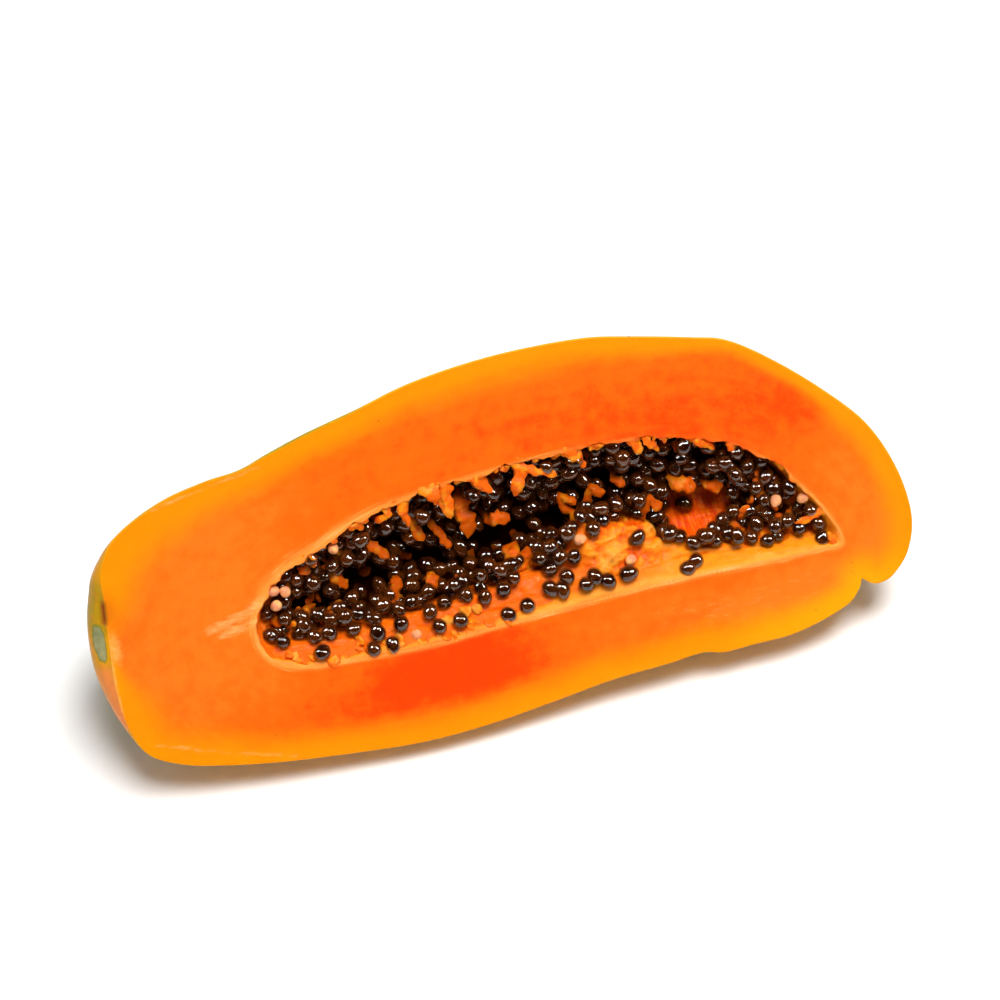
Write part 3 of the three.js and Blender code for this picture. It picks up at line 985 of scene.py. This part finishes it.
# Each tag: u and v of its start, u and v of its end, and its radius.
HANGING = [
    (-69.5, 10.5, -67, 5.5, 1.2), (-50, 19, -48.5, 14.5, 1), (-39.5, 19, -44, 16.5, 1),
    (-34, 21, -32, 12.5, 1.5), (-23, 23.5, -16.5, 15.5, 2.2), (-18, 23.5, -17, 12, 1.9),
    (-8.5, 25, -2, 17.5, 1.9), (8.5, 22.5, 5.5, 15, 1.9), (10, 25, 21.5, 19, 1.3),
    (27.5, 26.5, 31.5, 19.5, 1.7), (50, 25.5, 52.5, 20, 1.4), (55, 25, 58.5, 19.5, 1.4),
    (73, 20.5, 79, 16, 1.2), (84.5, 17, 86, 11, 1.3), (114.5, -13.5, 103.5, -17, 1.1),
    (116, -25, 113.5, -22.5, 1.2),
]
INNER = [
    (-46, 8.5, -40.5, 1.5, 1.5), (-30, 11.5, -27, 4.5, 1.5), (-22.5, 8, -18.5, 0.5, 1.5),
    (-11, 15, -11, 2.5, 2.4), (-3, 6.5, 3.5, 7.5, 1.8), (-61, 0.5, -56.5, -6, 1.5),
    (-66.5, -15.5, -64.5, -13.5, 1.3), (-27.5, -8, -26, -13, 1.6),
    (-29.5, -18, -23, -21, 1.8), (35, 10, 37, 6, 1.6), (44, 11, 46.5, 8.5, 1.5),
    (23, 9, 28, 5.5, 1.6), (65.5, 5.5, 70.5, 0.5, 2.6), (76.5, 2, 82, 1, 1.8),
    (55, 1, 58, -2.5, 1.5), (84, -14.5, 87.5, -17.5, 1.6), (-40, -7, -39.5, -14, 1.6),
    (-39.5, -13, -45, -18.5, 1.5), (3, -6, 7, -14, 2.6), (8, -9, 5, -17, 2.4),
]
LUMPS = [(-14.5, -21), (-56.5, -23), (-43, -26), (-48.5, -26.5), (-18, -21.5), (-24, -24), (-66, -27)]
LOOSE_STRANDS = 70
LIP_NUBS = 34
LIP_CRUMBS = 30
CRUMB_SPAN = (-82, 2)
CRUMB_LIFT = 0.9
CRUMB_ABOVE_LIP = (0.5, 3.2)
CRUMB_RADIUS = (0.9, 1.9)
CRUMB_BRIGHT = (0, 0.6)
NUB_SPAN = 0.3
NUB_LENGTH = (0.6, 2.6)
NUB_DEPTH = (0.5, 2)
NUB_RADIUS = (0.5, 1.2)
STRAND_START = 30
STRAND_LENGTH = (5, 9)
STRAND_RADIUS = (0.8, 1.7)
STRAND_BRIGHT = (-0.2, 0.3)


def pulp_tags(lining):
    """The tags and lumps whose places are their own, each rooted in the lining."""
    tags = []
    for *start, u, v, radius in HANGING:
        tags.append(Tag([(*start, LIP_LEVEL), (u, v, TIP_LEVEL)], radius * HANGING_WIDER, 0.25, 0.5))
    for *start, u, v, radius in INNER:
        tags.append(Tag([(*start, INNER_LEVEL), (u, v, INNER_LEVEL - 1)], radius, 0, 0))
    for u, v in LUMPS:
        tags.append(Tag([(u - 1, v, 3.5), (u + 1, v + 1, 2)], LUMP_RADIUS, 0.7, 0.2))
    return [tag._replace(points=[lining.root(tag.points[0])] + tag.points) for tag in tags]


def lip_nubs(lining, random):
    """Small torn ends of pulp along the upper lip."""
    nubs = []
    for _ in range(LIP_NUBS):
        rib = int(random.uniform(0, NUB_SPAN) * len(lining.ribs.turn)) - len(lining.ribs.turn) // 40
        start = wall_points(lining.ribs, 0.04, -0.1)[rib]
        inward = -lining.ribs.dir[rib]
        length = random.uniform(*NUB_LENGTH)
        end = start + [*(inward * length), random.uniform(*NUB_DEPTH)]
        end[0] += random.normal(0, 0.8)
        nubs.append(Tag([start, (start + end) / 2, end], random.uniform(*NUB_RADIUS), 0.3, 0.5))
    return nubs


def lip_crumbs(lining, random):
    """Crumbs of pulp along the lower lip at the stem end's side."""
    crumbs = []
    for u in np.linspace(*CRUMB_SPAN, LIP_CRUMBS):
        u = u + random.normal(0, 1)
        v = np.interp(u, *LOWER_LIP) + random.uniform(*CRUMB_ABOVE_LIP)
        middle = lining.root(np.array([u, v, 1.5])) - [0, 0, CRUMB_LIFT]
        aside = random.normal(0, 0.8, 3)
        points = [middle - aside, middle, middle + aside - [0, 0, 0.8]]
        radius, bright = random.uniform(*CRUMB_RADIUS), random.uniform(*CRUMB_BRIGHT)
        crumbs.append(Tag(points, radius, bright, 0))
    return crumbs


def loose_strands(lining, random):
    """Short strands that stand up from the lining between the seeds."""
    strands = []
    while len(strands) < LOOSE_STRANDS:
        ring = random.integers(STRAND_START, len(lining.angles))
        rib = random.integers(len(lining.ribs.turn))
        point, normal = lining.front[ring, rib], lining.normals[ring, rib]
        if in_any(seen(point), BARE) > 0.3:
            continue
        bend = random.normal(0, 1.6, 3)
        tip = point + normal * random.uniform(*STRAND_LENGTH) + bend
        if tip[2] > 3:
            middle = (point + tip) / 2 + random.normal(0, 0.9, 3)
            radius, bright = random.uniform(*STRAND_RADIUS), random.uniform(*STRAND_BRIGHT)
            strands.append(Tag([point, middle, tip], radius, bright, 0))
    return strands


STRAND_RINGS = 30
STRAND_SIDES = 16
STRAND_WIDE, STRAND_HIGH = 1.3, 0.7
TIP_FROM, TIP_LENGTH = 0.8, 0.2
LUMPY, THINNEST = 0.55, 0.25


def swept(tag, salt):
    """A lumpy flattened strand along its points, closed at both ends."""
    knots = np.array(tag.points, float)
    along = np.linspace(0, len(knots) - 1, STRAND_RINGS)
    line = curve(knots, 2 * knots[0] - knots[1], 2 * knots[-1] - knots[-2], along)
    sway = np.stack([noise(line + shift, 4, salt) for shift in (0, 50, 100)], axis=1)
    line = line + sway * tag.radius * 0.5 * fade(along, 0, 1)[:, None]
    ahead = unit(np.gradient(line, axis=0))
    aside = unit(np.cross(ahead, [0.2, 0.3, -1.0]))
    over = np.cross(ahead, aside)
    t = np.linspace(0, 1, STRAND_RINGS)
    tip = np.sqrt(np.clip(1 - ((t - TIP_FROM) / TIP_LENGTH) ** 2, 0.02, 1))
    width = 0.75 + 0.25 * t + tag.taper * (0.9 - 1.6 * t)
    profile = np.where(t < TIP_FROM, 1, tip) * width * tag.radius
    around = np.linspace(0, 2 * pi, STRAND_SIDES, endpoint=False)
    ring = np.cos(around)[:, None, None] * aside * STRAND_WIDE
    ring = ring + np.sin(around)[:, None, None] * over * STRAND_HIGH
    ring = np.moveaxis(ring, 0, 1) * profile[:, None, None]
    lumpy = 1 + LUMPY * layered_noise((ring + line[:, None]) * [1, 1, 0.6], 1.9, salt, 4)
    lumpy = np.maximum(lumpy, THINNEST)
    points = (line[:, None] + ring * lumpy[..., None]).reshape(-1, 3)
    points = np.concatenate([points, [line[0], line[-1] + ahead[-1] * 0.1 * tag.radius]])
    index = np.arange(STRAND_RINGS * STRAND_SIDES).reshape(STRAND_RINGS, STRAND_SIDES)
    a, b, c, d = corners(index)
    root, tip = len(points) - 2, len(points) - 1
    first, last = index[0], index[-1]
    faces = [np.stack([a, b, c], -1), np.stack([b, d, c], -1)]
    faces += [np.stack([np.full(STRAND_SIDES, root), np.roll(first, -1), first], -1)]
    faces += [np.stack([np.full(STRAND_SIDES, tip), last, np.roll(last, -1)], -1)]
    return points, np.concatenate([face.reshape(-1, 3) for face in faces])


def make_tags(tags, material):
    parts = [swept(tag, SALT["tag"]) for tag in tags]
    points, triangles = merged(parts)
    bright = np.concatenate([np.full(len(part[0]), tag.bright) for tag, part in zip(tags, parts)])
    values = {
        "bright": bright + 0.8 * layered_noise(points, 2.4, SALT["tag_bright"]),
        # Painted shade: the tags darken the deeper they lie.
        "painted_shade": 0.85 * fade(points[:, 2], 5, 17),
        "red": np.zeros(len(points)),
    }
    stand_for(make_object("pulp_tags", points, triangles, material, values), "seeds")


# ---- seeds

SEED_RANDOM = 7
SEED_TRIES = 16000
SEED_LIMIT = 600
SPACE = 5.2
SUNK = 1.9
PILE = {"from": 2.0, "step": 0.5, "upper": 11, "lower": 8}
PILE_START = 18
FROM_EDGE = 1.2
FROM_TAG = 2.2
BARE_EDGE = 0.05
PALE_SIZE = 0.7
LEDGE_SIZE = (0.92, 1)
LEDGE_LEVEL = 4
LEDGE_SEEDS = [
    (-77, -17), (-69, -24), (-66, -19), (-52, -26.5), (-50, -21.5), (-45.5, -26.5), (-29, -24.5),
    (-21, -23), (-3.5, -25.5), (3.5, -24.5), (13.5, -13), (12, -20), (16.5, -20.7), (19, -17),
    (25, -22), (28.7, -18.6), (33.5, -22), (41, -21.8), (46, -8.5), (55, -6), (61, -13),
    (61.5, -24), (66, -21.5), (68.7, -15), (74, -12.5), (78, -10), (64.5, -0.5),
    (96.6, 5), (99.5, 1), (103.2, -4), (106.6, -11.5), (105.7, -17), (112.7, -18.5), (112.3, -23.7),
]
PALE_LEVEL = 3
PALE_SEEDS = [
    (-59.5, 10.6), (-82.3, 0.8), (-78.5, -0.3), (-82.5, -4.5), (-37, -25.5), (25.6, -5),
    (42.3, -16.3), (97.7, -7), (107.7, -8),
]
SEED_LINE = [
    (-92, -20), (-60, -24), (-30, -22.5), (-13, -19.5), (2, -20), (13, -18), (26, -15.5),
    (53, -8.5), (67, -15.5), (82, -21), (99, -23), (118, -24.5),
]
BARE = [(40, -10, 14, 11), (68, -3, 13, 10), (5.5, -12.5, 5, 7)]
HOLLOWS = [
    (-71, -5.5, 6, 4), (-52, 0, 8, 5), (-31, 3, 9, 4), (-3, 4.5, 12, 5), (-41, 10.5, 7, 3.5),
    (18.5, 5, 8, 4), (36, 17, 6, 3.5), (74, 15, 6, 3), (100, -10, 5, 3),
]

Seed = namedtuple("Seed", "centre size turns pale")


def fixed_seeds(lining, random):
    """The seeds whose places are their own: those on the ledge, and the pale ones."""
    seeds = []
    for u, v in LEDGE_SEEDS:
        point, normal = lining.behind(seen((u, v, LEDGE_LEVEL)))
        size = random.uniform(*LEDGE_SIZE)
        seeds.append(Seed(point + normal * SUNK, size, random.random(3), False))
    for u, v in PALE_SEEDS:
        seeds.append(Seed(np.array([u, v, PALE_LEVEL]), PALE_SIZE, random.random(3), True))
    return seeds


def may_lie(centre, tag_points):
    """Whether a seed may lie with its middle at a place."""
    looked = seen(centre)
    shallowest = 3 if looked[1] > -18 else 2
    if centre[2] < shallowest or looked[1] < np.interp(looked[0], *np.array(SEED_LINE).T):
        return False
    if in_any(looked, BARE + HOLLOWS, BARE_EDGE) > 0.5:
        return False
    if distance_to(CAVITY.loop, centre) < FROM_EDGE:
        return False
    covered = np.linalg.norm(seen(tag_points) - looked, axis=1) < FROM_TAG
    return not (covered & (tag_points[:, 2] > centre[2] - 1.5)).any()


def pile_seeds(lining, seeds, tags, random):
    """Seeds laid on the lining and on each other, each at the lowest place that is free."""
    tag_points = np.concatenate([np.array(tag.points[1:]) for tag in tags])
    pile = list(seeds)
    centres = [seed.centre for seed in seeds]
    ring_count, rib_count = lining.front.shape[:2]
    lifts = np.arange(PILE["from"], PILE["upper"], PILE["step"])
    for _ in range(SEED_TRIES):
        ring = random.integers(PILE_START, ring_count)
        rib = random.integers(rib_count)
        size = random.uniform(SEED["smallest"], SEED["largest"])
        turns = random.random(3)
        point, normal = lining.front[ring, rib], lining.normals[ring, rib]
        tried = point + normal * lifts[:, None]
        nearest = distance_to(np.array(centres), tried)
        free = np.flatnonzero(nearest > SPACE)
        if len(free) == 0 or len(pile) >= SEED_LIMIT:
            continue
        lift, centre = lifts[free[0]], tried[free[0]]
        highest = PILE["upper"] if lining.ribs.dir[rib, 1] > -0.3 else PILE["lower"]
        if lift < highest and may_lie(centre, tag_points):
            pile.append(Seed(centre, size, turns, False))
            centres.append(centre)
    return pile


BALL_DETAIL = 3
VARIANTS = 6
WRINKLE = 0.07
POINTED = 0.12
CORE_SCALE, JELLY_SCALE, PALE_SCALE = 0.82, 1.0, 0.9


def ball(detail):
    """An icosphere of diameter 1, as points and triangles."""
    made = bmesh.new()
    bmesh.ops.create_icosphere(made, subdivisions=detail, radius=0.5)
    points = np.array([vert.co[:] for vert in made.verts])
    triangles = np.array([[vert.index for vert in face.verts] for face in made.faces])
    made.free()
    return points, triangles


def seed_forms():
    """A few seed shapes: egg-like and uneven, one end more pointed."""
    points, triangles = ball(BALL_DETAIL)
    along = points[:, 2] * 2
    egg = points * np.stack([1 - POINTED * along, 1 - POINTED * along, np.ones_like(along)], axis=1)
    forms = []
    for variant in range(VARIANTS):
        bumps = noise(points + variant * 3.7, 0.42, SALT["seed"])
        bumps = bumps + 0.5 * noise(points + variant * 5.1, 0.2, SALT["seed"])
        forms.append(egg * (1 + WRINKLE * bumps[:, None]))
    return forms, triangles


def make_seeds(seeds):
    forms, triangles = seed_forms()
    full = np.array([SEED["width"], SEED["width"], SEED["length"]])
    kinds = [
        ("seed_cores", False, CORE_SCALE, core_paint()),
        ("seed_jellies", False, JELLY_SCALE, jelly_paint()),
        ("seeds_pale", True, PALE_SCALE, pale_seed_paint()),
    ]
    for name, pale, scale, material in kinds:
        parts = []
        for number, seed in enumerate(seed for seed in seeds if seed.pale == pale):
            turn = np.array(Euler([share * 2 * pi for share in seed.turns]).to_matrix())
            form = forms[number % len(forms)] * full * seed.size * scale
            parts.append((form @ turn.T + seed.centre, triangles[:, ::-1]))
        made = make_object(name, *merged(parts), material)
        stand_for(made, "seeds")


# ---- studio
# Lights, as place and size in metres and power in watts. A mirrored one is a window that shows
# only as a highlight on what is wet. The others light without a highlight.

Light = namedtuple("Light", "name at size power mirrored")
LIGHTS = [
    Light("overhead", (0.2, -0.22, 1.6), (0.9, 0.6), 34, False),
    Light("window_left", (-0.77, 0.05, 1.03), (0.22, 0.8), 24, True),
    Light("window_middle", (-0.1, -0.35, 1.25), (0.16, 0.16), 6, True),
    Light("window_right", (0.68, -0.37, 1.03), (0.22, 0.8), 24, True),
]
LIT_POINT = Vector((0, 0, 0.05))
WORLD_STRENGTH = 0.25
WHITE = (1, 1, 1, 1)
FLOOR_WHITE = (0.93, 0.93, 0.93, 1)
FLOOR_HALF = 6
FLOOR_DROP = 0.0002


def make_floor():
    mesh = bpy.data.meshes.new("floor")
    signs = [(-1, -1), (1, -1), (1, 1), (-1, 1)]
    places = [(x * FLOOR_HALF, y * FLOOR_HALF, 0) for x, y in signs]
    mesh.from_pydata(places, [], [(0, 1, 2, 3)])
    floor = bpy.data.objects.new("floor", mesh)
    floor.location.z = -FLOOR_DROP
    bpy.context.scene.collection.objects.link(floor)
    paint = Paint("floor")
    paint.shade(Base_Color=FLOOR_WHITE, Roughness=0.9, Specular_IOR_Level=0.1)
    mesh.materials.append(paint.material)


def make_light(light):
    data = bpy.data.lights.new(light.name, "AREA")
    data.shape = "RECTANGLE"
    data.size, data.size_y = light.size
    data.energy = light.power
    made = bpy.data.objects.new(light.name, data)
    made.visible_glossy = light.mirrored
    made.visible_diffuse = not light.mirrored
    made.location = light.at
    made.rotation_euler = (LIT_POINT - Vector(light.at)).to_track_quat("-Z", "Y").to_euler()
    bpy.context.scene.collection.objects.link(made)


def make_studio():
    make_floor()
    world = bpy.data.worlds.new("studio")
    world.use_nodes = True
    background = world.node_tree.nodes["Background"]
    background.inputs["Color"].default_value = WHITE
    background.inputs["Strength"].default_value = WORLD_STRENGTH
    world.cycles_visibility.glossy = False
    bpy.context.scene.world = world
    for light in LIGHTS:
        make_light(light)
    bpy.context.scene.view_settings.view_transform = "Standard"


make_studio()
make_flesh()
pulp = pulp_paint()
draws = np.random.default_rng(SEED_RANDOM)
inner_wall = Lining()
named_tags = pulp_tags(inner_wall)
all_seeds = pile_seeds(inner_wall, fixed_seeds(inner_wall, draws), named_tags, draws)
make_lining(inner_wall, all_seeds, pulp)
all_tags = named_tags + loose_strands(inner_wall, draws) + lip_nubs(inner_wall, draws)
make_tags(all_tags + lip_crumbs(inner_wall, draws), pulp)
make_seeds(all_seeds)
